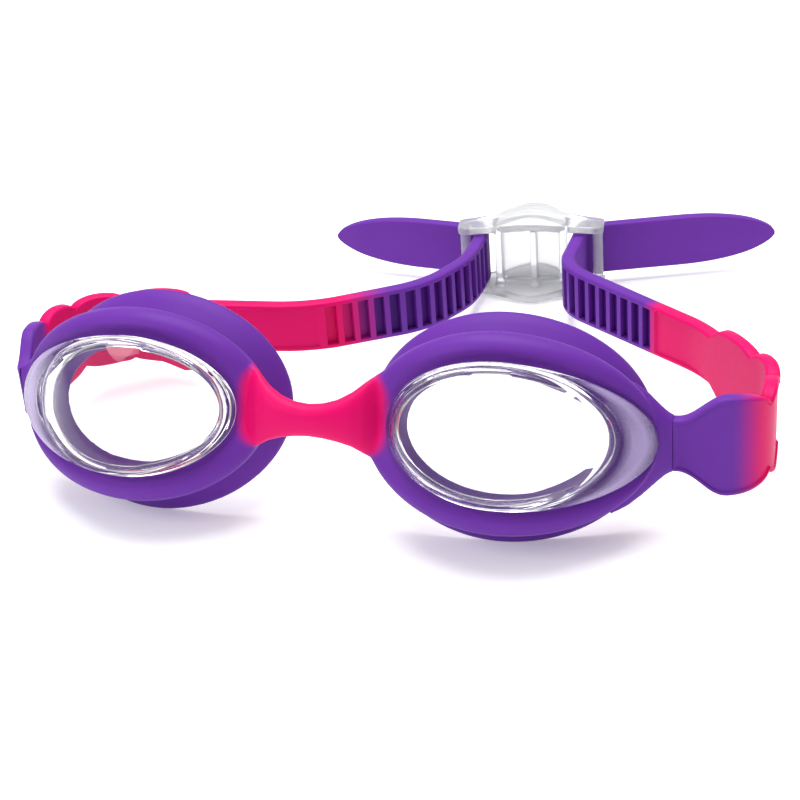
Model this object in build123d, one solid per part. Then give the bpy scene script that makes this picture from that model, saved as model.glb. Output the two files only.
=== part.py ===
from build123d import *
import os
from math import cos, pi, sin, sqrt

os.makedirs("parts", exist_ok=True)

# Swim goggles standing on a table, in millimetres. X runs across the two eye cups,
# -Y is the front, +Z is up, and z = 0 is the table.

# Eye cups: the +X cup is built, and the -X cup is its mirror image.
cup_spacing = 76.0
cup_height = 21.62
set_back = 14.0
cup_lean = 8.9
cup_splay = 6.5
cup_droop = 2.7
wrap = 0.0069
lens_wrap = 0.0107
window_wrap = 0.0125
# Outlines are (nose half-length, temple half-length, half-height).
bore = (21.9, 24.0, 14.3)
ring_outline = (28.5, 31.6, 20.5)
neck_outline = (25.2, 27.8, 17.2)
seal_rim = (28.8, 30.4, 23.6)
flange = (23.2, 30.4, 14.8)
window = (21.7, 23.8, 14.1)
fit_gap = 0.1
ring_back = 5.6
ring_front = 16.4
flange_thickness = 1.3
window_front = 20.2
window_thickness = 1.6
pod_wall = 1.2
pod_back = 7.0

# Nose bridge.
bridge_y = -12.4
bridge_z = 27.4
bridge_waist = (2.6, 3.4)
bridge_root = (3.4, 8.5)
bridge_reach = 15.0
flex_gap = 0.6

# Straps: plan routes of the middle of the band, from the cup to the tip of the tail.
band_height = 12.0
rear_height = 13.4
widen_y = 40.0
arm_thickness = 3.0
strap_thickness = 3.4
tail_thickness = 3.0
band_at_cup = 19.4
band_at_back = 9.9
back_y = 98.0
right_route = [(70.4, 3.2), (90.2, 4.4), (89.2, 27.0), (70.5, 54.5), (31.9, 87.9), (31.9, 113.5), (79.0, 130.6)]
right_bends = [10.5, 16.0, 40.0, 18.0, 4.4]
left_route = [(-70.4, 3.2), (-73.8, 3.7), (-77.4, 14.0), (-75.8, 33.5), (-60.5, 47.0), (-22.0, 51.2), (1.5, 70.5),
              (7.1, 88.0), (7.1, 109.6), (-35.1, 114.0)]
left_bends = [2.4, 12.0, 20.0, 28.0, 28.0, 26.0, 30.0, 4.4]
right_marks = {"side": 63.0, "ladder": 85.0, "tail": 151.0}
left_marks = {"side": 63.0, "ladder": 92.0, "tail": 166.1}
lobes = [(11.5, 11.1), (27.2, 10.0), (40.0, 9.4), (54.0, 9.3)]
lobe_waist = 2.4
joint_gap = 0.4
groove_pitch = 3.9
groove_length = 2.7
groove_height = 8.8
groove_depth = 1.5
tip_length = 26.0

# Buckle.
buckle_at = (19.5, 108.0)
buckle_turn = 8.0
bar_offset = 17.0
bar_width = 2.8
bar_depth = 3.4
rail_half_length = 18.6
rail_depth = 7.6
rail_bulge = 13.0
rail_top = 19.6
slot_height = 14.2
rail_hump = 0.8
block_half_width = 9.0
block_depth = 6.6


def cup_place():
    """Frame of the +X cup: x towards the temple, y up the cup, z out of its front."""
    middle = Pos(cup_spacing / 2, 0, cup_height)
    turn = Rot(-set_back, 0, 0) * Rot(0, 0, cup_splay) * Rot(-cup_lean, 0, 0) * Rot(0, cup_droop, 0)
    return middle * turn * Plane.XZ.location


def hoop_corner(outline, level, bend, angle):
    nose, temple, high = outline
    length = temple if cos(angle) > 0 else nose
    u = length * cos(angle)
    radius = 0.5 / bend
    return Vector(u, high * sin(angle), level - radius + sqrt(radius**2 - u**2))


def hoop(profile):
    """Closed ring whose section corners each follow an outline, bent back round the face."""
    halves = []
    for start in (0.0, pi):
        sections = []
        for step in range(9):
            angle = start + pi * step / 8
            corners = [hoop_corner(outline, level, bend, angle) for outline, level, bend in profile]
            sections.append(Wire.make_polygon(corners, close=True))
        halves.append(Solid.make_loft(sections))
    return halves[0].fuse(halves[1])


def grown(outline, amount):
    return tuple(half + amount for half in outline)


def outline_block(outline, low, high):
    nose, temple, half_height = outline
    temple_side = EllipticalCenterArc((0, 0), temple, half_height, -90, arc_size=180)
    nose_side = EllipticalCenterArc((0, 0), nose, half_height, 90, arc_size=180)
    face = make_face(temple_side.edges() + nose_side.edges())
    return Pos(0, 0, low) * extrude(face, high - low)


def bent_region(level, bend):
    """Everything behind a round surface, of radius 0.5 / bend, whose crest is at a level."""
    radius = 0.5 / bend
    return Pos(0, 0, level - radius) * Rot(90, 0, 0) * Cylinder(radius, 120)


def frame_ring():
    front_rebate = ring_front - flange_thickness - fit_gap
    profile = [
        (bore, ring_back, wrap),
        (bore, front_rebate, lens_wrap),
        (grown(flange, fit_gap), front_rebate, lens_wrap),
        (grown(flange, fit_gap), ring_front - 0.2, lens_wrap),
        ((25.6, 31.0, 17.2), ring_front + 0.2, lens_wrap),
        ((27.7, 31.5, 19.5), 14.2, 0.0085),
        (ring_outline, 11.2, wrap),
        ((27.8, 30.9, 19.7), 8.2, wrap),
        (neck_outline, 6.0, wrap),
    ]
    return hoop(profile)


def face_seal():
    profile = [
        (bore, ring_back - fit_gap, wrap),
        (neck_outline, 6.0 - fit_gap, wrap),
        ((25.4, 27.9, 18.4), 4.4, wrap),
        ((27.0, 29.0, 21.2), 2.6, wrap),
        (seal_rim, 0.6, wrap),
        (grown(seal_rim, -0.5), -0.2, wrap),
        ((26.0, 27.8, 20.2), 0.9, wrap),
        ((23.8, 25.9, 17.2), 2.6, wrap),
        ((22.3, 24.3, 14.9), 4.2, wrap),
    ]
    return hoop(profile)


def lens():
    plate = outline_block(flange, -20, 30) & bent_region(ring_front, lens_wrap)
    plate = plate - bent_region(ring_front - flange_thickness, lens_wrap)
    pod = outline_block(window, -20, 30) & bent_region(window_front, window_wrap)
    pod = pod - bent_region(pod_back, wrap)
    inside = outline_block(grown(window, -pod_wall), -20, 30)
    inside = inside & bent_region(window_front - window_thickness, window_wrap)
    return plate + pod - inside


def nose_bridge():
    stations = [-bridge_reach, -9.0, 0.0, 9.0, bridge_reach]
    sizes = [bridge_root, (2.8, 5.0), bridge_waist, (2.8, 5.0), bridge_root]
    sections = []
    for x, (half_depth, half_height) in zip(stations, sizes):
        plane = Plane(origin=(x, bridge_y, bridge_z), x_dir=(0, 1, 0), z_dir=(1, 0, 0))
        sections.append(plane * Ellipse(half_depth, half_height))
    body = loft(sections)
    clearance = cup_place() * outline_block(grown(ring_outline, flex_gap), -30, 40)
    body = body - clearance
    body = body - mirror(clearance, about=Plane.YZ)
    return body


def band_middle(y):
    """Height of the middle of the strap band at a depth y."""
    share = min(y / back_y, 1.0)
    return band_at_cup + (band_at_back - band_at_cup) * share


def band_slab():
    """Everything between the band's lower and upper edges: it grows taller towards the back."""
    front_z = band_at_cup + (band_at_cup - band_at_back) * 30.0 / back_y
    half = band_height / 2
    rear_half = rear_height / 2
    spine = [
        (-30.0, front_z, half),
        (widen_y, band_middle(widen_y), half),
        (back_y, band_at_back, rear_half),
        (160.0, band_at_back, rear_half),
    ]
    upper = [(y, z + reach) for y, z, reach in spine]
    lower = [(y, z - reach) for y, z, reach in reversed(spine)]
    face = Plane.YZ * make_face(Polyline(*upper, *lower, close=True))
    return extrude(face, 110, both=True)


def route_wire(route, bends):
    return Wire(FilletPolyline(*route, radius=bends).edges())


def ribbon(wire, start, end, thickness):
    piece = wire.trim(start / wire.length, end / wire.length)
    return extrude(trace(piece, thickness), 60)


def on_route(wire, distance):
    """Point and heading of the route at a distance from its start."""
    share = distance / wire.length
    return wire @ share, wire % share


def across_band(wire, distance):
    """Frame at the band's middle with z along the band's thickness."""
    point, heading = on_route(wire, distance)
    origin = (point.X, point.Y, band_middle(point.Y))
    return Plane(origin=origin, x_dir=(heading.X, heading.Y, 0), z_dir=(heading.Y, -heading.X, 0))


def temple_arm(wire, end):
    tall = ribbon(wire, 0, end, arm_thickness)
    arm = tall & band_slab()
    for distance, radius in lobes:
        disc = across_band(wire, distance) * Cylinder(radius, 2 * arm_thickness + lobe_waist)
        arm = arm + (tall & disc)
    return arm


def side_strap(wire, start, end):
    return ribbon(wire, start, end, strap_thickness) & band_slab()


def grooves(wire, start, end, thickness, inner_side):
    """Row of blind pockets in the face of the band that looks into the head loop."""
    cutters = []
    count = int((end - start) / groove_pitch)
    for index in range(count):
        distance = start + (index + 0.5) * (end - start) / count
        lift = inner_side * (thickness / 2 - groove_depth / 2 + 0.5)
        place = across_band(wire, distance)
        cutters.append(place * Pos(0, 0, lift) * Box(groove_length, groove_height, groove_depth + 1.0))
    return cutters


def ladder_strap(wire, start, end, inner_side):
    band = ribbon(wire, start, end, strap_thickness) & band_slab()
    return band - grooves(wire, start + 1.5, end - 12.0, strap_thickness, inner_side)


def strap_tail(wire, start, inner_side):
    end = wire.length
    band = ribbon(wire, start, end, tail_thickness) & band_slab()
    place = across_band(wire, end - tip_length / 2)
    half = tip_length / 2
    side = rear_height / 2 + 0.1
    upper = Line((-half - 60, side), (-half, side)) + Spline([(-half, side), (half, 0)], tangents=[(1, 0), (0.35, -1)])
    lower = mirror(upper, about=Plane.XZ)
    closing = Line((-half - 60, -side), (-half - 60, side))
    leaf = make_face(upper.edges() + lower.edges() + closing.edges())
    band = band & (place * extrude(leaf, 12, both=True))
    return band - grooves(wire, start + 4.0, end - tip_length * 0.5, tail_thickness, inner_side)


def rail(low, high, swell):
    """One of the buckle's two rails: a plate with a swollen middle, in the buckle's own frame."""
    end = rail_half_length
    back = rail_depth / 2
    front = Line((-end, -back), (end, -back))
    rear = Spline([(end, back), (end / 2, back + 0.4), (0, rail_bulge - back), (-end / 2, back + 0.4), (-end, back)])
    sides = Line((end, -back), (end, back)) + Line((-end, back), (-end, -back))
    plate = Pos(0, 0, low) * extrude(make_face(front.edges() + rear.edges() + sides.edges()), high - low)
    hump = Pos(0, 0, swell) * Box(2 * block_half_width, rail_depth * 0.7, 2 * rail_hump)
    return plate + hump


def strap_buckle():
    middle = band_at_back
    slot_low = middle - slot_height / 2
    slot_high = middle + slot_height / 2
    plate_top = rail_top - rail_hump
    body = rail(rail_hump, slot_low, rail_hump) + rail(slot_high, plate_top, plate_top)
    for side in (-1, 1):
        bar = Box(bar_width, bar_depth, slot_height + 0.4)
        bar = fillet(bar.edges().filter_by(Axis.Z), 1.0)
        body = body + Pos(side * bar_offset, 0, middle) * bar
    block = Box(2 * block_half_width, block_depth, slot_height + 0.4)
    block = fillet(block.edges().filter_by(Axis.Z), 1.6)
    body = body + Pos(0, 0, middle) * block
    return Pos(buckle_at[0], buckle_at[1], 0) * Rot(0, 0, buckle_turn) * body


def save(name, shape):
    export_step(shape, f"parts/{name}.step")


def save_pair(name, shape):
    save(f"right_{name}", shape)
    save(f"left_{name}", mirror(shape, about=Plane.YZ))


def save_strap(side, route, bends, marks, inner_side):
    wire = route_wire(route, bends)
    save(f"{side}_temple_arm", temple_arm(wire, marks["side"]))
    save(f"{side}_side_strap", side_strap(wire, marks["side"] + fit_gap, marks["ladder"]))
    save(f"{side}_ladder_strap", ladder_strap(wire, marks["ladder"] + fit_gap, marks["tail"], inner_side))
    save(f"{side}_strap_tail", strap_tail(wire, marks["tail"] + joint_gap, inner_side))
    print(side, "route", round(wire.length, 1), "tail starts", on_route(wire, marks["tail"])[0])


save("nose_bridge", nose_bridge())
save_pair("frame_ring", cup_place() * frame_ring())
save_pair("face_seal", cup_place() * face_seal())
save_pair("lens", cup_place() * lens())
save_strap("right", right_route, right_bends, right_marks, -1)
save_strap("left", left_route, left_bends, left_marks, 1)
save("strap_buckle", strap_buckle())
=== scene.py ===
import math
import bisect
import bpy
import bmesh
from mathutils import Matrix, Vector


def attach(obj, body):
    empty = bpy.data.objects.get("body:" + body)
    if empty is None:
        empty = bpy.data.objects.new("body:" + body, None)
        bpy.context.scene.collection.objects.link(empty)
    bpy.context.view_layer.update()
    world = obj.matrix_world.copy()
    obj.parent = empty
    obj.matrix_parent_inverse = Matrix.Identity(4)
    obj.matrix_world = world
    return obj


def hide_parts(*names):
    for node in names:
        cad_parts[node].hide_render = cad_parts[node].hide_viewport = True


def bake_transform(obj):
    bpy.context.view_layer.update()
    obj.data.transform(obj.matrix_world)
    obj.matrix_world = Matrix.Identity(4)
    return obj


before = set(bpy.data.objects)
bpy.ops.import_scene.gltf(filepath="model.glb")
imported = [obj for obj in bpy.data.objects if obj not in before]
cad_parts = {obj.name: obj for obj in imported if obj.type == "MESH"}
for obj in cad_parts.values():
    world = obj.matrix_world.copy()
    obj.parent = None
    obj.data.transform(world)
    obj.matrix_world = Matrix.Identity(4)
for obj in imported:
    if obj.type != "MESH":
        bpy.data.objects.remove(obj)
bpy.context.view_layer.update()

scene = bpy.context.scene
mirrorX = Matrix.Scale(-1.0, 4, (1.0, 0.0, 0.0))
print("frame loaded:", len(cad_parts), "nodes")


# shapes are in millimetres until makePiece scales them to metres

def smoothStep(low, high, value):
    share = min(max((value - low) / (high - low), 0.0), 1.0)
    return share * share * (3.0 - 2.0 * share)


def grown(outline, amount):
    return tuple(half + amount for half in outline)


def between(first, second, share):
    return tuple(a + (b - a) * share for a, b in zip(first, second))


def edgesOf(verts):
    return list({edge for vert in verts for edge in vert.link_edges})


def ringOfPoints(bm, place, count):
    # a circle whose points are moved to place(angle); returns its edges
    made = bmesh.ops.create_circle(bm, cap_ends=False, segments=count, radius=1.0)
    edges = edgesOf(made["verts"])
    for vert in made["verts"]:
        vert.co = place(math.atan2(vert.co.y, vert.co.x))
    return edges


def bridgeAll(bm, loops, closed):
    pairs = list(zip(loops, loops[1:]))
    if closed:
        pairs.append((loops[-1], loops[0]))
    for first, second in pairs:
        bmesh.ops.bridge_loops(bm, edges=first + second)


def tidyShell(bm):
    bmesh.ops.remove_doubles(bm, verts=bm.verts, dist=0.0005)
    bmesh.ops.recalc_face_normals(bm, faces=bm.faces)


def voxelSkin(bm, voxel, rounds):
    # joins overlapping shells into one skin and rounds its creases
    blank = bpy.data.meshes.new("blank")
    bm.to_mesh(blank)
    holder = bpy.data.objects.new("blank", blank)
    scene.collection.objects.link(holder)
    remesh = holder.modifiers.new("skin", "REMESH")
    remesh.mode = "VOXEL"
    remesh.voxel_size = voxel
    soften = holder.modifiers.new("soften", "SMOOTH")
    soften.factor = 0.5
    soften.iterations = rounds
    depsgraph = bpy.context.evaluated_depsgraph_get()
    skin = bpy.data.meshes.new_from_object(holder.evaluated_get(depsgraph))
    bpy.data.objects.remove(holder)
    bm.clear()
    bm.from_mesh(skin)
    bpy.data.meshes.remove(skin)
    bpy.data.meshes.remove(blank)


def makePiece(name, bm, side, material, shares=None, sharpAngle=None):
    # side -1 mirrors a piece built for the +X side; shares is {attribute: function of a point in mm}
    mesh = bpy.data.meshes.new(name)
    bm.to_mesh(mesh)
    for attributeName, rule in (shares or {}).items():
        values = [rule(vert.co) for vert in mesh.vertices]
        attribute = mesh.attributes.new(attributeName, "FLOAT", "POINT")
        attribute.data.foreach_set("value", values)
    if side < 0:
        mesh.transform(mirrorX)
        mesh.flip_normals()
    mesh.transform(Matrix.Scale(0.001, 4))
    mesh.shade_smooth()
    if sharpAngle:
        mesh.set_sharp_from_angle(angle=math.radians(sharpAngle))
    piece = bpy.data.objects.new(name, mesh)
    scene.collection.objects.link(piece)
    piece.data.materials.append(material)
    return piece


class Value:
    # one output socket; arithmetic on it adds Math nodes
    def __init__(self, shader, socket):
        self.shader = shader
        self.socket = socket

    def calc(self, operation, first, second):
        return self.shader.node("ShaderNodeMath", {"operation": operation}, {0: first, 1: second})

    def __add__(self, other):
        return self.calc("ADD", self, other)

    def __radd__(self, other):
        return self.calc("ADD", other, self)

    def __sub__(self, other):
        return self.calc("SUBTRACT", self, other)

    def __rsub__(self, other):
        return self.calc("SUBTRACT", other, self)

    def __mul__(self, other):
        return self.calc("MULTIPLY", self, other)

    def __rmul__(self, other):
        return self.calc("MULTIPLY", other, self)


class Shader:
    # a material with its Principled shader, and one method for every other node
    def __init__(self, name):
        self.material = bpy.data.materials.new(name)
        self.material.use_nodes = True
        self.tree = self.material.node_tree
        self.surface = self.tree.nodes["Principled BSDF"]

    def feed(self, socket, value):
        if isinstance(value, Value):
            self.tree.links.new(value.socket, socket)
        else:
            socket.default_value = value

    def node(self, kind, settings=None, values=None, output=0):
        made = self.tree.nodes.new(kind)
        for name, setting in (settings or {}).items():
            setattr(made, name, setting)
        for name, value in (values or {}).items():
            self.feed(made.inputs[name], value)
        return Value(self, made.outputs[output])

    def noise(self, scale, detail, roughness=0.5):
        place = self.node("ShaderNodeTexCoord", output="Object")
        return self.node("ShaderNodeTexNoise", {}, {"Vector": place, "Scale": scale, "Detail": detail,
                                                    "Roughness": roughness})

    def attribute(self, name):
        return self.node("ShaderNodeAttribute", {"attribute_name": name}, output="Fac")

    def bump(self, relief, height):
        # relief is (strength, distance in metres)
        return self.node("ShaderNodeBump", {}, {"Strength": relief[0], "Distance": relief[1], "Height": height})

    def mixColour(self, share, first, second):
        return self.node("ShaderNodeMix", {"data_type": "RGBA"}, {0: share, 6: first, 7: second}, output=2)

    def finish(self, **sockets):
        for name, value in sockets.items():
            self.feed(self.surface.inputs[name.replace("_", " ")], value)
        return self.material


silicone = {
    "purple": (0.132, 0.028, 0.315, 1.0),
    "purpleDeep": (0.108, 0.020, 0.275, 1.0),
    "pink": (0.670, 0.000, 0.122, 1.0),
    "pinkDeep": (0.610, 0.000, 0.104, 1.0),
    # painted shade: the dark purple laid into the groove floors on the strap's inner face
    "pocketShade": (0.050, 0.004, 0.150, 1.0),
    "mottleScale": 55.0,      # about 18 mm patches
    "grainScale": 5200.0,     # about 0.2 mm moulded grain
    "handlingScale": 420.0,   # about 2.4 mm marks from being handled
    "roughness": 0.46, "handlingRoughness": 0.10, "mottleRoughness": 0.06,
    "relief": (0.10, 0.00004), "ior": 1.42, "shine": 0.16,
    "sheen": 0.01, "sheenTint": (0.93, 0.86, 1.0, 1.0),
}


def siliconeMaterial():
    shader = Shader("twoToneSilicone")
    mottle = shader.noise(silicone["mottleScale"], 3.0)
    grain = shader.noise(silicone["grainScale"], 2.0)
    handling = shader.noise(silicone["handlingScale"], 4.0, 0.6)
    pinkShare = shader.attribute("pinkShare")
    purple = shader.mixColour(mottle, silicone["purple"], silicone["purpleDeep"])
    pink = shader.mixColour(mottle, silicone["pink"], silicone["pinkDeep"])
    colour = shader.mixColour(pinkShare, purple, pink)
    # painted shade: groove floors are coloured darker, except where the silicone is pink
    colour = shader.mixColour(shader.attribute("pocketShade") * (1.0 - pinkShare), colour, silicone["pocketShade"])
    roughness = (silicone["roughness"] + silicone["handlingRoughness"] * handling
                 - silicone["mottleRoughness"] * mottle)
    return shader.finish(Base_Color=colour, Roughness=roughness, IOR=silicone["ior"],
                         Normal=shader.bump(silicone["relief"], grain + 0.5 * handling),
                         Specular_IOR_Level=silicone["shine"], Sheen_Weight=silicone["sheen"],
                         Sheen_Tint=silicone["sheenTint"])


clearPlastic = {
    "scuffTint": (0.94, 0.93, 0.98, 1.0), "scuffTinting": 0.25, "scuffRoughness": 0.03,
    "scuffScale": 1500.0, "rippleScale": 90.0, "relief": (0.05, 0.0002),
    "satinShare": 0.55, "satinRoughness": 0.30, "satinScuff": 0.15, "satinCoat": 0.4,
}
lensPlastic = {
    "roughness": 0.01, "ior": 1.36, "shine": 0.3, "tint": (0.945, 0.948, 0.955, 1.0),
    # painted light: the lavender stands in for the purple silicone seen through the frosted flange and
    # reflected in the window's wall
    "satin": ((0.62, 0.52, 0.80, 1.0), (0.50, 0.38, 0.72, 1.0)),
}
bucklePlastic = {
    "roughness": 0.16, "ior": 1.47, "shine": 0.4, "tint": (0.92, 0.925, 0.935, 1.0),
    "satin": ((0.76, 0.77, 0.79, 1.0), (0.66, 0.67, 0.70, 1.0)),
}


def clearMaterial(name, plastic):
    # polished plastic, mixed with a satin share that is set per point; on the lens the satin colour is
    # lavender, painted light of the purple silicone
    shader = Shader(name)
    ripple = shader.noise(clearPlastic["rippleScale"], 2.0)
    scuff = shader.noise(clearPlastic["scuffScale"], 5.0, 0.65)
    colour = shader.mixColour(clearPlastic["scuffTinting"] * scuff, plastic["tint"], clearPlastic["scuffTint"])
    bump = shader.bump(clearPlastic["relief"], ripple)
    roughness = plastic["roughness"] + clearPlastic["scuffRoughness"] * scuff
    material = shader.finish(Base_Color=colour, Roughness=roughness, Normal=bump, IOR=plastic["ior"],
                             Specular_IOR_Level=plastic["shine"], Transmission_Weight=1.0)
    # satin share for frosting; on the lens its lavender base colour is painted light of the purple silicone
    satin = shader.node("ShaderNodeBsdfPrincipled", {}, {
        "Base Color": shader.mixColour(scuff, *plastic["satin"]),
        "Roughness": clearPlastic["satinRoughness"] + clearPlastic["satinScuff"] * scuff,
        "Normal": bump, "IOR": plastic["ior"], "Coat Weight": clearPlastic["satinCoat"]})
    polished = Value(shader, shader.surface.outputs[0])
    share = clearPlastic["satinShare"] * shader.attribute("hazeAndPaintedLight")
    mixed = shader.node("ShaderNodeMixShader", {}, {0: share, 1: polished, 2: satin})
    shader.feed(shader.tree.nodes["Material Output"].inputs["Surface"], mixed)
    return material


siliconeFinish = siliconeMaterial()
lensFinish = clearMaterial("clearLensPlastic", lensPlastic)
buckleFinish = clearMaterial("clearBucklePlastic", bucklePlastic)
print("finishes made")


cup = {
    "spacing": 76.0, "height": 21.62, "setBack": 14.0, "lean": 8.9, "splay": 6.5, "droop": 2.7,
    # each wrap is half of one over the radius it bends to
    "wrap": 0.0069, "lensWrap": 0.0107, "flangeWrap": 0.0099, "windowWrap": 0.0125,
    # outlines are nose half-length, temple half-length, half-height
    "bore": (20.4, 21.8, 13.6), "ring": (28.5, 31.4, 20.5), "neck": (25.2, 27.8, 17.2),
    "flange": (23.1, 31.4, 14.75), "window": (21.9, 24.2, 14.25), "crown": (21.7, 20.8, 14.0),
    "hollow": (20.6, 16.0, 12.8), "sealRim": (28.8, 30.4, 23.6),
    "points": 120, "voxel": 0.45, "softening": 9,
}


def turned(degrees, axis):
    return Matrix.Rotation(math.radians(degrees), 4, axis)


upright = Matrix(((1, 0, 0, 0), (0, 0, -1, 0), (0, 1, 0, 0), (0, 0, 0, 1)))
cupPlace = (Matrix.Translation((cup["spacing"] / 2, 0, cup["height"])) @ turned(-cup["setBack"], "X")
            @ turned(cup["splay"], "Z") @ turned(-cup["lean"], "X") @ turned(cup["droop"], "Y") @ upright)


def onOutline(outline, level, bend, power=2.0):
    # point of an egg outline, bent back round the face like the CAD cups
    nose, temple, high = outline
    radius = 0.5 / bend

    def place(angle):
        across, up = math.cos(angle), math.sin(angle)
        if across > 0 and power != 2.0:
            across = abs(across) ** (2.0 / power)
            up = math.copysign(abs(up) ** (2.0 / power), up)
        u = (temple if across > 0 else nose) * across
        return cupPlace @ Vector((u, high * up, level - radius + math.sqrt(radius * radius - u * u)))
    return place


def hoop(bm, profile):
    loops = [ringOfPoints(bm, onOutline(*corner), cup["points"]) for corner in profile]
    bridgeAll(bm, loops, closed=True)


def tube(bm, sections, count):
    # a closed limb along X through (x, y, z, half depth, half height, squareness, lean)
    loops = []
    for section in sections:
        def place(angle, section=section):
            x, y, z, deep, high, power, lean = section
            c, s = math.cos(angle), math.sin(angle)
            up = math.copysign(abs(s) ** (2 / power), s) * high
            return Vector((x, y + math.copysign(abs(c) ** (2 / power), c) * deep + lean * up, z + up))
        loops.append(ringOfPoints(bm, place, count))
    bridgeAll(bm, loops, closed=False)
    for end in (loops[0], loops[-1]):
        bmesh.ops.holes_fill(bm, edges=end, sides=0)


frameShape = {
    # x, y, z, half depth, half height, squareness, lean
    "bridge": [(-3.0, -12.1, 26.7, 2.6, 3.45, 2.3, 0.0), (0.0, -12.1, 26.7, 2.6, 3.45, 2.3, 0.0),
               (3.0, -12.0, 26.7, 2.6, 3.7, 2.3, 0.03), (6.0, -11.5, 26.7, 2.7, 4.4, 2.3, 0.10),
               (9.0, -10.6, 26.8, 2.9, 5.6, 2.2, 0.20), (11.5, -9.5, 26.8, 2.8, 7.2, 2.1, 0.32),
               (14.0, -8.0, 26.6, 2.1, 8.5, 2.0, 0.42), (16.5, -6.2, 26.4, 1.1, 9.0, 2.0, 0.46)],
    "armRoot": [(60.5, -1.6, 20.3, 2.6, 13.0, 2.2, 0.42), (64.0, -0.3, 20.2, 2.8, 11.6, 2.2, 0.40),
                (66.6, 0.8, 20.0, 2.6, 9.9, 2.3, 0.34), (68.8, 1.8, 19.7, 2.2, 8.2, 2.5, 0.22),
                (70.6, 2.7, 19.4, 1.8, 6.9, 2.8, 0.10), (72.2, 3.2, 19.2, 1.6, 6.15, 3.2, 0.02),
                (74.0, 3.4, 19.1, 1.55, 6.0, 3.6, 0.0)],
    "rootEnd": 71.8,
    "pinkReach": 15.9, "pinkHeight": 8.8, "pinkMiddle": 27.4,
}


def frameHalf():
    bm = bmesh.new()
    hoop(bm, [
        (grown(cup["bore"], -1.0), 5.4, cup["wrap"]),
        (cup["bore"], 14.3, cup["lensWrap"]),
        ((23.8, 29.8, 15.3), 14.6, cup["lensWrap"]),
        ((24.3, 30.1, 15.8), 15.1, cup["lensWrap"]),
        ((25.5, 30.6, 17.2), 15.3, cup["lensWrap"]),
        ((26.9, 31.1, 18.7), 14.6, 0.0093),
        ((28.0, 31.3, 19.9), 13.3, 0.0081),
        (cup["ring"], 11.4, cup["wrap"]),
        ((28.2, 31.0, 20.1), 9.2, cup["wrap"]),
        ((27.0, 30.2, 19.0), 7.4, cup["wrap"]),
        (cup["neck"], 6.0, cup["wrap"]),
        (grown(cup["neck"], -0.8), 5.0, cup["wrap"]),
    ])
    tube(bm, frameShape["bridge"], 48)
    tube(bm, frameShape["armRoot"], 48)
    tidyShell(bm)
    voxelSkin(bm, cup["voxel"], cup["softening"])
    for point, out in ((Vector((0.0, 0, 0)), -1.0), (Vector((frameShape["rootEnd"], 0, 0)), 1.0)):
        cut = bmesh.ops.bisect_plane(bm, geom=bm.verts[:] + bm.edges[:] + bm.faces[:], plane_co=point,
                                     plane_no=(out, 0, 0), clear_outer=True)
        rim = [item for item in cut["geom_cut"] if isinstance(item, bmesh.types.BMEdge)]
        bmesh.ops.holes_fill(bm, edges=rim, sides=0)
    bmesh.ops.recalc_face_normals(bm, faces=bm.faces)
    return bm


def bridgePink(point):
    across = abs(point.x) / frameShape["pinkReach"]
    high = abs(point.z - frameShape["pinkMiddle"]) / frameShape["pinkHeight"]
    return 1.0 - smoothStep(0.90, 1.08, (across ** 4 + high ** 4) ** 0.25)


def faceSeal():
    bm = bmesh.new()
    hoop(bm, [
        (grown(cup["bore"], 0.1), 5.9, cup["wrap"]),
        (grown(cup["neck"], -0.5), 6.4, cup["wrap"]),
        (grown(cup["neck"], -0.2), 5.2, cup["wrap"]),
        ((25.6, 28.0, 18.6), 4.2, cup["wrap"]),
        ((27.1, 29.1, 21.4), 2.6, cup["wrap"]),
        ((28.4, 30.1, 23.2), 1.2, cup["wrap"]),
        (cup["sealRim"], 0.5, cup["wrap"]),
        (grown(cup["sealRim"], -0.1), -0.1, cup["wrap"]),
        (grown(cup["sealRim"], -0.7), -0.3, cup["wrap"]),
        ((26.2, 27.9, 20.4), 0.9, cup["wrap"]),
        ((24.0, 26.0, 17.4), 2.6, cup["wrap"]),
        ((22.4, 24.4, 15.0), 4.2, cup["wrap"]),
    ])
    tidyShell(bm)
    return bm


def lensShell():
    bm = bmesh.new()
    window, flange, crown, hollow = cup["window"], cup["flange"], cup["crown"], cup["hollow"]
    front, edge, proud = cup["windowWrap"], cup["lensWrap"], cup["flangeWrap"]
    none = (0.0, 0.0, 0.0)
    shares = (0.03, 0.25, 0.5, 0.75, 0.92)
    profile = [(between(none, crown, share), 20.4 - 0.9 * share ** 2, front) for share in shares]
    profile += [
        (grown(crown, -0.35), 19.5, front), (grown(crown, -0.1), 19.35, front),
        (grown(crown, 0.05), 19.05, front),
        (between(crown, window, 0.45), 18.0, 0.0118), (between(crown, window, 0.85), 17.0, 0.0110),
        (grown(window, 0.15), 16.6, proud), (between(window, flange, 0.3), 16.45, proud, 1.95),
        (between(window, flange, 0.65), 16.4, proud, 1.9), (grown(flange, -0.4), 16.35, proud, 1.88),
        (grown(flange, -0.1), 16.15, proud, 1.88), (flange, 15.85, edge, 1.88),
        (grown(flange, -0.08), 15.4, edge, 1.88),
        (grown(flange, -0.4), 15.2, edge, 1.88), (window, 15.1, edge), (grown(window, -0.3), 14.8, edge),
        (grown(window, -0.6), 14.5, edge), (grown(window, -1.3), 14.5, edge),
        (grown(window, -1.7), 14.9, edge),
        (grown(window, -1.9), 15.6, edge), (between(window, hollow, 0.45), 16.6, 0.0114),
        (between(window, hollow, 0.7), 17.5, 0.0120), (between(window, hollow, 0.9), 18.1, front),
    ]
    profile += [(between(none, hollow, share), 18.7 - 0.4 * share ** 2, front) for share in reversed(shares)]
    loops = [ringOfPoints(bm, onOutline(*corner), cup["points"]) for corner in profile]
    bridgeAll(bm, loops, closed=False)
    for end in (loops[0], loops[-1]):
        bmesh.ops.holes_fill(bm, edges=end, sides=0)
    tidyShell(bm)
    return bm


cupInverse = cupPlace.inverted()


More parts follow.
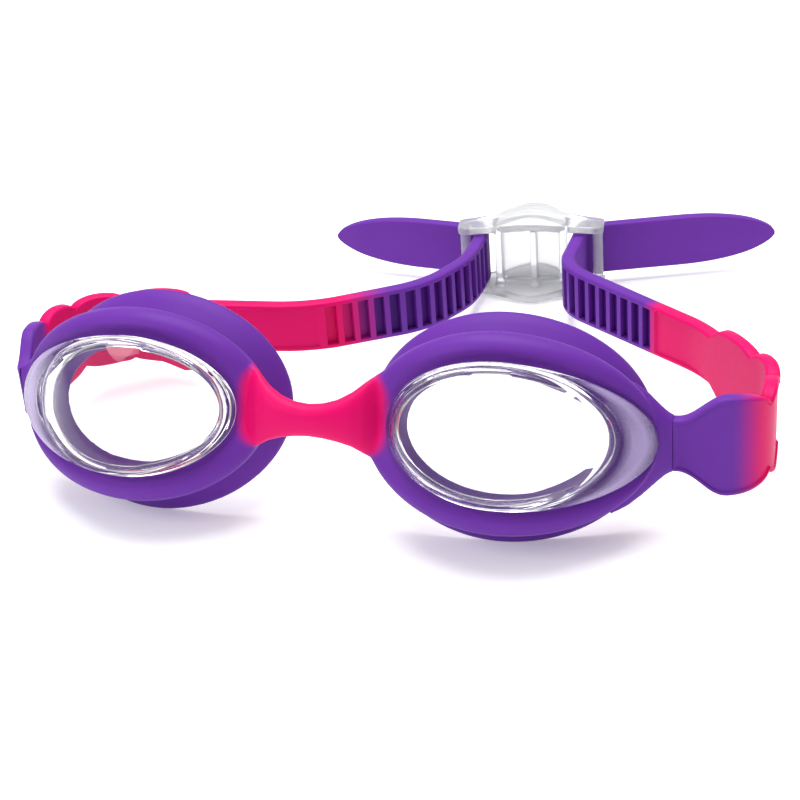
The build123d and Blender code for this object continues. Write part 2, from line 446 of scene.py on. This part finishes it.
def flangeHazeAndPaintedLight(point):
    # satin flange with a polished rim, its lavender painted light of the purple silicone under it; the window's
    # wall gets a faint satin share at the temple, a painted reflection of the purple silicone
    local = cupInverse @ point

    def reach(outline):
        nose, temple, high = outline
        return math.hypot(local.x / (temple if local.x > 0 else nose), local.y / high)

    window = reach(cup["window"])
    wallHere = smoothStep(0.86, 0.90, window) * (1.0 - smoothStep(0.95, 0.99, window))
    # painted reflection: a faint lavender band on the window's wall, toward the temple
    wall = 0.15 * wallHere * smoothStep(10.0, 18.0, local.x)
    polished = 0.85 * smoothStep(0.955, 0.985, reach(cup["flange"]))
    return max(wall, smoothStep(1.04, 1.10, window)) * (1.0 - polished)


halfShape = frameHalf()
sealShape = faceSeal()
lensShape = lensShell()
plainShares = {"pinkShare": lambda point: 0.0, "pocketShade": lambda point: 0.0}
for sideName, side in (("right", 1), ("left", -1)):
    eye = sideName + "_eye"
    half = makePiece(sideName + "FrameHalf", halfShape, side, siliconeFinish,
                     {"pinkShare": bridgePink, "pocketShade": lambda point: 0.0}, 55)
    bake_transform(half)
    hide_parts(sideName + "_frame_ring", "nose_bridge")
    seal = makePiece(sideName + "FaceSeal", sealShape, side, siliconeFinish, plainShares)
    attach(seal, eye)
    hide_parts(sideName + "_face_seal")
    clear = makePiece(sideName + "Lens", lensShape, side, lensFinish, {"hazeAndPaintedLight": flangeHazeAndPaintedLight}, 50)
    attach(clear, eye)
    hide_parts(sideName + "_lens")
    print(sideName, "eye cup made,", len(half.data.polygons), "faces in its frame half")


band = {
    "middleAtCup": 19.4, "middleAtBack": 9.9, "backY": 98.0,
    "height": 12.0, "rearHeight": 13.4, "widenY": 40.0,
    "armThickness": 3.0, "strapThickness": 3.4, "tailThickness": 3.0,
    "lipWidth": 1.0, "panelDepth": 0.45, "recessDepth": 0.55,
    "groovePitch": 3.9, "grooveLength": 2.7, "grooveDepth": 1.5, "grooveWall": 0.14,
    # scallops: middle, half length, half height
    "scallops": [(12.0, 9.8, 11.2), (27.6, 5.8, 10.2), (39.8, 6.4, 9.7), (54.0, 7.8, 9.2)],
    "neckHalf": 5.95, "notchHalf": 7.5,
    "tipLength": 26.0,
}
straps = {
    "right": {
        "route": [(70.4, 3.2), (90.2, 4.4), (89.2, 27.0), (70.5, 54.5), (31.9, 87.9), (31.9, 113.5),
                  (79.0, 130.6)],
        "bends": [10.5, 16.0, 40.0, 18.0, 4.4], "outward": 1,
        "start": 1.4, "ladder": 85.0, "tail": 151.0, "pinkFrom": (12.5, 20.5), "pinkTo": (84.5, 90.0),
        "turn": (0.60, 0.80),
    },
    "left": {
        "route": [(-70.4, 3.2), (-72.3, 3.5), (-76.9, 24.0), (-74.2, 37.0), (-60.5, 47.0), (-22.0, 51.2),
                  (1.5, 70.5), (7.1, 88.0), (7.1, 109.6), (-35.1, 114.0)],
        "bends": [1.9, 20.0, 14.0, 28.0, 28.0, 26.0, 30.0, 4.4], "outward": -1,
        "start": 1.4, "ladder": 92.0, "tail": 166.4, "pinkFrom": (16.0, 22.0), "pinkTo": (96.0, 112.0),
        "turn": (-0.30, 0.95),
    },
}


class Route:
    # the middle line of a strap in plan, walked by distance
    def __init__(self, corners, bends):
        points = [Vector(corner) for corner in corners]
        walk = [points[0]]
        for before, corner, after, radius in zip(points, points[1:], points[2:], bends):
            into = (corner - before).normalized()
            out = (after - corner).normalized()
            angle = into.angle(out)
            setBack = radius * math.tan(angle / 2)
            side = 1.0 if into.x * out.y - into.y * out.x > 0 else -1.0
            centre = corner - into * setBack + Vector((-into.y, into.x)) * radius * side
            spoke = corner - into * setBack - centre
            steps = max(6, int(angle * radius / 0.25))
            for index in range(steps + 1):
                turn = Matrix.Rotation(side * angle * index / steps, 2)
                walk.append(centre + turn @ spoke)
        walk.append(points[-1])
        self.points, self.distances = [walk[0]], [0.0]
        for point in walk[1:]:
            gap = (point - self.points[-1]).length
            if gap > 1e-6:
                self.points.append(point)
                self.distances.append(self.distances[-1] + gap)
        self.length = self.distances[-1]

    def rawPoint(self, distance):
        distance = min(max(distance, 0.0), self.length)
        index = min(max(bisect.bisect_right(self.distances, distance) - 1, 0), len(self.points) - 2)
        share = (distance - self.distances[index]) / (self.distances[index + 1] - self.distances[index])
        return self.points[index].lerp(self.points[index + 1], share)

    def at(self, distance):
        # easing over 2.4 mm makes the bends run into the straights without a kink
        near = [self.rawPoint(distance + offset) for offset in (-1.2, -0.6, 0.0, 0.6, 1.2)]
        return (near[0] + near[4] + 2 * near[1] + 2 * near[3] + 3 * near[2]) / 9

    def heading(self, distance):
        return (self.at(distance + 0.3) - self.at(distance - 0.3)).normalized()


def bandMiddle(y):
    return band["middleAtCup"] + (band["middleAtBack"] - band["middleAtCup"]) * min(y / band["backY"], 1.0)


def plainHalf(y):
    share = min(max((y - band["widenY"]) / (band["backY"] - band["widenY"]), 0.0), 1.0)
    return (band["height"] + (band["rearHeight"] - band["height"]) * share) / 2


def scallopHalf(distance, plain):
    neck, notch = band["neckHalf"], band["notchHalf"]
    for index, (middle, length, high) in enumerate(band["scallops"]):
        offset = (distance - middle) / length
        if abs(offset) > 1.0:
            continue
        if index == 0 and offset < 0:
            return neck + (high - neck) * (0.5 + 0.5 * math.cos(math.pi * offset))
        return notch + (high - notch) * math.sqrt(1.0 - offset * offset)
    lastMiddle, lastLength = band["scallops"][-1][:2]
    fade = smoothStep(0.0, 3.0, distance - lastMiddle - lastLength)
    if distance > lastMiddle:
        return notch + (plain - notch) * fade
    return neck if distance < band["scallops"][0][0] else notch


def bandColumns(start, end, grooves, step):
    # distances along the band: even steps, with extra ones at the walls of each groove
    count = max(2, int((end - start) / step))
    marks = {round(start + (end - start) * index / count, 3) for index in range(count + 1)}
    half, wall = band["grooveLength"] / 2, band["grooveWall"]
    for middle in grooves:
        marks = {mark for mark in marks if abs(mark - middle) > half + 0.35}
        marks |= {round(middle + offset, 3) for offset in (-half, -half + wall, 0.0, half - wall, half)}
    return sorted(marks | {round(start, 3), round(end, 3)})


def bandPiece(name, route, columns, halfAt, thickAt, grooves, outward, panelAt, recessAt, pinkAt):
    lip, wall = band["lipWidth"], band["grooveWall"]
    rowOffsets = [0.0, 0.12, 0.35, 0.7, lip - 0.15, lip + 0.1, lip + 0.1 + wall, lip + 0.6]
    rows = [(-1, offset) for offset in rowOffsets] + [(-1, None), (0, None), (1, None)]
    rows += [(1, offset) for offset in reversed(rowOffsets)]
    rounding = {0.0: 0.58, 0.12: 0.80, 0.35: 0.94}
    bm = bmesh.new()
    pinkLayer = bm.verts.layers.float.new("pinkShare")
    pocketShadeLayer = bm.verts.layers.float.new("pocketShade")
    bmesh.ops.create_grid(bm, x_segments=len(columns) - 1, y_segments=len(rows) - 1, size=1.0)
    flat = bmesh.ops.extrude_face_region(bm, geom=bm.faces[:])
    outer = {item for item in flat["geom"] if isinstance(item, bmesh.types.BMVert)}
    half, depth = band["grooveLength"] / 2, band["grooveDepth"]
    for vert in bm.verts:
        column = round((vert.co.x + 1) / 2 * (len(columns) - 1))
        row = round((vert.co.y + 1) / 2 * (len(rows) - 1))
        distance, (sign, offset) = columns[column], rows[row]
        point, heading = route.at(distance), route.heading(distance)
        plain = plainHalf(point.y)
        high = halfAt(distance, plain)
        shrink = min(1.0, high / 5.0)
        inset = high if sign == 0 else (offset * shrink if offset is not None else high * 0.55)
        up = sign * (high - inset)
        thick = thickAt(distance) / 2 * rounding.get(offset, 1.0)
        if vert in outer:
            thick -= panelAt(distance) * smoothStep(lip - 0.1, lip + 0.1, inset)
            face = outward
        else:
            thick -= recessAt(distance) * smoothStep(lip - 0.1, lip + 0.1, inset)
            face = -outward
            inPocket = any(abs(distance - middle) < half - wall + 0.01 for middle in grooves)
            if inPocket and inset > lip + 0.1 + wall / 2:
                thick -= depth
                # painted shade: this groove floor vertex gets the dark groove colour
                vert[pocketShadeLayer] = 1.0
        normal = Vector((heading.y, -heading.x)) * face
        place = point + normal * thick
        vert.co = Vector((place.x, place.y, bandMiddle(point.y) + up))
        vert[pinkLayer] = pinkAt(distance)
    tidyShell(bm)
    piece = makePiece(name, bm, 1, siliconeFinish, None, 38)
    bm.free()
    return piece


def grooveMiddles(start, end):
    count = int((end - start) / band["groovePitch"])
    return [start + (index + 0.5) * (end - start) / count for index in range(count)]


for sideName, side in (("right", 1), ("left", -1)):
    plan = straps[sideName]
    route = Route(plan["route"], plan["bends"])
    ladder, tailStart = plan["ladder"], plan["tail"]
    grooves = grooveMiddles(ladder + 1.5, tailStart - 12.0)
    columns = bandColumns(plan["start"], 66.0, [], 0.5)[:-1] + bandColumns(66.0, tailStart, grooves, 0.7)

    def armHalf(distance, plain):
        return scallopHalf(distance, plain) if distance < 66.0 else plain

    def armThick(distance):
        rise = smoothStep(55.0, 66.0, distance)
        return band["armThickness"] + (band["strapThickness"] - band["armThickness"]) * rise

    def armPanel(distance):
        return band["panelDepth"] * smoothStep(2.0, 2.5, distance) * (1.0 - smoothStep(60.0, 70.0, distance))

    def sideRecess(distance):
        rise = smoothStep(ladder - 22.0, ladder - 8.0, distance)
        return band["recessDepth"] * rise * (1.0 - smoothStep(ladder, ladder + 0.4, distance))

    def strapPink(distance):
        return smoothStep(*plan["pinkFrom"], distance) * (1.0 - smoothStep(*plan["pinkTo"], distance))

    strap = bandPiece(sideName + "StrapBand", route, columns, armHalf, armThick, grooves, plan["outward"],
                      armPanel, sideRecess, strapPink)
    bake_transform(strap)
    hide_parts(sideName + "_temple_arm", sideName + "_side_strap", sideName + "_ladder_strap")

    end = route.length
    tipStart = end - band["tipLength"]
    tailGrooves = grooveMiddles(tailStart + 7.0, end - band["tipLength"] * 0.45)

    def tailHalf(distance, plain):
        share = min(max((distance - tipStart) / band["tipLength"], 0.0), 1.0)
        return max(plain * (1.0 - share ** 2.3) ** 0.62, 0.5)

    def tailThick(distance):
        return band["tailThickness"] * (1.0 - 0.35 * smoothStep(end - 8.0, end, distance))

    def noPanel(distance):
        return 0.0

    tailColumns = bandColumns(tailStart, end - 10.0, tailGrooves, 0.8)[:-1]
    tailColumns += bandColumns(end - 10.0, end, [], 0.35)
    tail = bandPiece(sideName + "StrapTail", route, tailColumns, tailHalf, tailThick, tailGrooves,
                     plan["outward"], noPanel, noPanel, noPanel)
    tailPoint, tailHeading = route.at(tailStart), route.heading(tailStart + 8.0)
    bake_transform(tail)
    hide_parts(sideName + "_strap_tail")
    print(sideName, "strap made,", round(route.length, 1), "mm of band")


buckle = {
    "at": (19.5, 108.0), "turn": 8.0, "middle": 9.9,
    "railHalf": 18.6, "railDepth": 7.0, "rearBulge": 8.6, "frontBulge": 0.2, "lowFrontBulge": 6.0,
    "lowRail": (0.8, 2.8), "highRail": (17.0, 18.8), "lowLift": -0.7, "highLift": 2.4,
    "barOffset": 17.0, "barHalf": (1.3, 1.6), "blockHalf": (9.0, 3.3), "blockWall": 1.5, "slotHeight": 14.2,
    "voxel": 0.3, "softening": 4,
}


def railPlate(bm, low, high, lift, frontBulge):
    # a plate that swells at its middle, to the back most of all
    long, deep = buckle["railHalf"], buckle["railDepth"] / 2
    made = bmesh.ops.create_grid(bm, x_segments=48, y_segments=10, size=1.0)
    for vert in made["verts"]:
        swell = math.exp(-(vert.co.x / 0.48) ** 2)
        edge = deep - 0.9 * max(0.0, abs(vert.co.x) - 0.9) / 0.1 + swell * (
            buckle["rearBulge"] if vert.co.y > 0 else frontBulge)
        level = low + lift * swell * (1.0 - 0.6 * vert.co.y ** 2)
        vert.co = Vector((vert.co.x * long, vert.co.y * edge, level))
    faces = list({face for vert in made["verts"] for face in vert.link_faces})
    top = bmesh.ops.extrude_face_region(bm, geom=faces)
    lifted = [item for item in top["geom"] if isinstance(item, bmesh.types.BMVert)]
    bmesh.ops.translate(bm, verts=lifted, vec=(0, 0, high - low))


def roundedBox(bm, middle, half, rounding):
    made = bmesh.ops.create_cube(bm, size=2.0)
    bmesh.ops.scale(bm, verts=made["verts"], vec=half)
    bmesh.ops.translate(bm, verts=made["verts"], vec=middle)
    uprights = [edge for edge in edgesOf(made["verts"])
                if abs(edge.verts[0].co.z - edge.verts[1].co.z) > half[2]]
    bmesh.ops.bevel(bm, geom=uprights, offset=rounding, affect="EDGES", segments=4, profile=0.5, material=-1)


def buckleShape():
    bm = bmesh.new()
    railPlate(bm, *buckle["lowRail"], buckle["lowLift"], buckle["lowFrontBulge"])
    railPlate(bm, *buckle["highRail"], buckle["highLift"], buckle["frontBulge"])
    tall = buckle["slotHeight"] / 2 + 0.4
    for side in (-1, 1):
        roundedBox(bm, (side * buckle["barOffset"], 0, buckle["middle"]), (*buckle["barHalf"], tall), 0.9)
    wide, deep = buckle["blockHalf"]
    halfWall = buckle["blockWall"] / 2
    for side in (-1, 1):
        wallMiddle = (side * (wide - halfWall), 0, buckle["middle"])
        roundedBox(bm, wallMiddle, (halfWall + 0.3, deep, tall), 0.5)
    roundedBox(bm, (0, deep - 1.0, buckle["middle"]), (wide - 0.6, 0.9, tall), 0.4)
    roundedBox(bm, (0.6, -0.4, buckle["middle"]), (0.8, deep - 0.8, tall), 0.4)
    tidyShell(bm)
    voxelSkin(bm, buckle["voxel"], buckle["softening"])
    place = Matrix.Translation((*buckle["at"], 0)) @ turned(buckle["turn"], "Z")
    bmesh.ops.transform(bm, matrix=place, verts=bm.verts)
    return bm


buckleMesh = buckleShape()
clearBuckle = makePiece("clearBuckle", buckleMesh, 1, buckleFinish, {"hazeAndPaintedLight": lambda point: 0.5})
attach(clearBuckle, "buckle")
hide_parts("strap_buckle")
print("buckle made,", len(clearBuckle.data.polygons), "faces")


table = {
    "half": 3.0, "colour": (0.93, 0.93, 0.93, 1.0), "fleckColour": (0.80, 0.80, 0.80, 1.0),
    "fleckScale": 900.0, "relief": (0.03, 0.0001), "glow": 0.25,
}
lights = {
    "world": 0.54,
    "topSoftbox": {"where": (-0.05, 0.20, 0.85), "aim": (0.0, 0.05, 0.0), "size": 0.8, "power": 10.0},
    "frontSoftbox": {"where": (-0.55, -0.60, 0.60), "aim": (0.0, 0.02, 0.02), "size": 0.5, "power": 3.0},
}


def tableTop():
    bm = bmesh.new()
    bmesh.ops.create_grid(bm, x_segments=8, y_segments=8, size=table["half"])
    mesh = bpy.data.meshes.new("tableTop")
    bm.to_mesh(mesh)
    bm.free()
    top = bpy.data.objects.new("tableTop", mesh)
    scene.collection.objects.link(top)
    shader = Shader("tablePaper")
    fleck = shader.noise(table["fleckScale"], 3.0)
    colour = shader.mixColour(0.03 * fleck, table["colour"], table["fleckColour"])
    mesh.materials.append(shader.finish(Base_Color=colour, Roughness=0.8, Emission_Color=colour,
                                        Normal=shader.bump(table["relief"], fleck),
                                        Emission_Strength=table["glow"]))


def softLight(name):
    light = lights[name]
    data = bpy.data.lights.new(name, "AREA")
    data.shape = "DISK"
    data.size = light["size"]
    data.energy = light["power"]
    lamp = bpy.data.objects.new(name, data)
    scene.collection.objects.link(lamp)
    lamp.location = light["where"]
    beam = Vector(light["aim"]) - Vector(light["where"])
    lamp.rotation_euler = beam.to_track_quat("-Z", "Y").to_euler()


tableTop()
softLight("topSoftbox")
softLight("frontSoftbox")
world = bpy.data.worlds.new("studio")
world.use_nodes = True
background = world.node_tree.nodes["Background"]
background.inputs["Color"].default_value = (1.0, 1.0, 1.0, 1.0)
background.inputs["Strength"].default_value = lights["world"]
scene.world = world
scene.view_settings.view_transform = "Standard"

view = {"where": (0.119567, -0.317570, 0.209778), "yaw": 18.08, "down": 28.81, "roll": -4.464,
        "lens": 83.25, "sensor": 36.0}


def addCamera():
    yaw, down, roll = (math.radians(view[name]) for name in ("yaw", "down", "roll"))
    ahead = Vector((-math.sin(yaw) * math.cos(down), math.cos(yaw) * math.cos(down), -math.sin(down)))
    level = ahead.cross(Vector((0, 0, 1))).normalized()
    upward = level.cross(ahead)
    across = level * math.cos(roll) + upward * math.sin(roll)
    over = across.cross(ahead)
    data = bpy.data.cameras.new("camera")
    data.sensor_width = view["sensor"]
    data.lens = view["lens"]
    data.clip_start = 0.01
    camera = bpy.data.objects.new("camera", data)
    scene.collection.objects.link(camera)
    turn = Matrix((across, over, -ahead)).transposed()
    camera.matrix_world = Matrix.Translation(view["where"]) @ turn.to_4x4()
    scene.camera = camera


addCamera()
print("table, light and camera set")
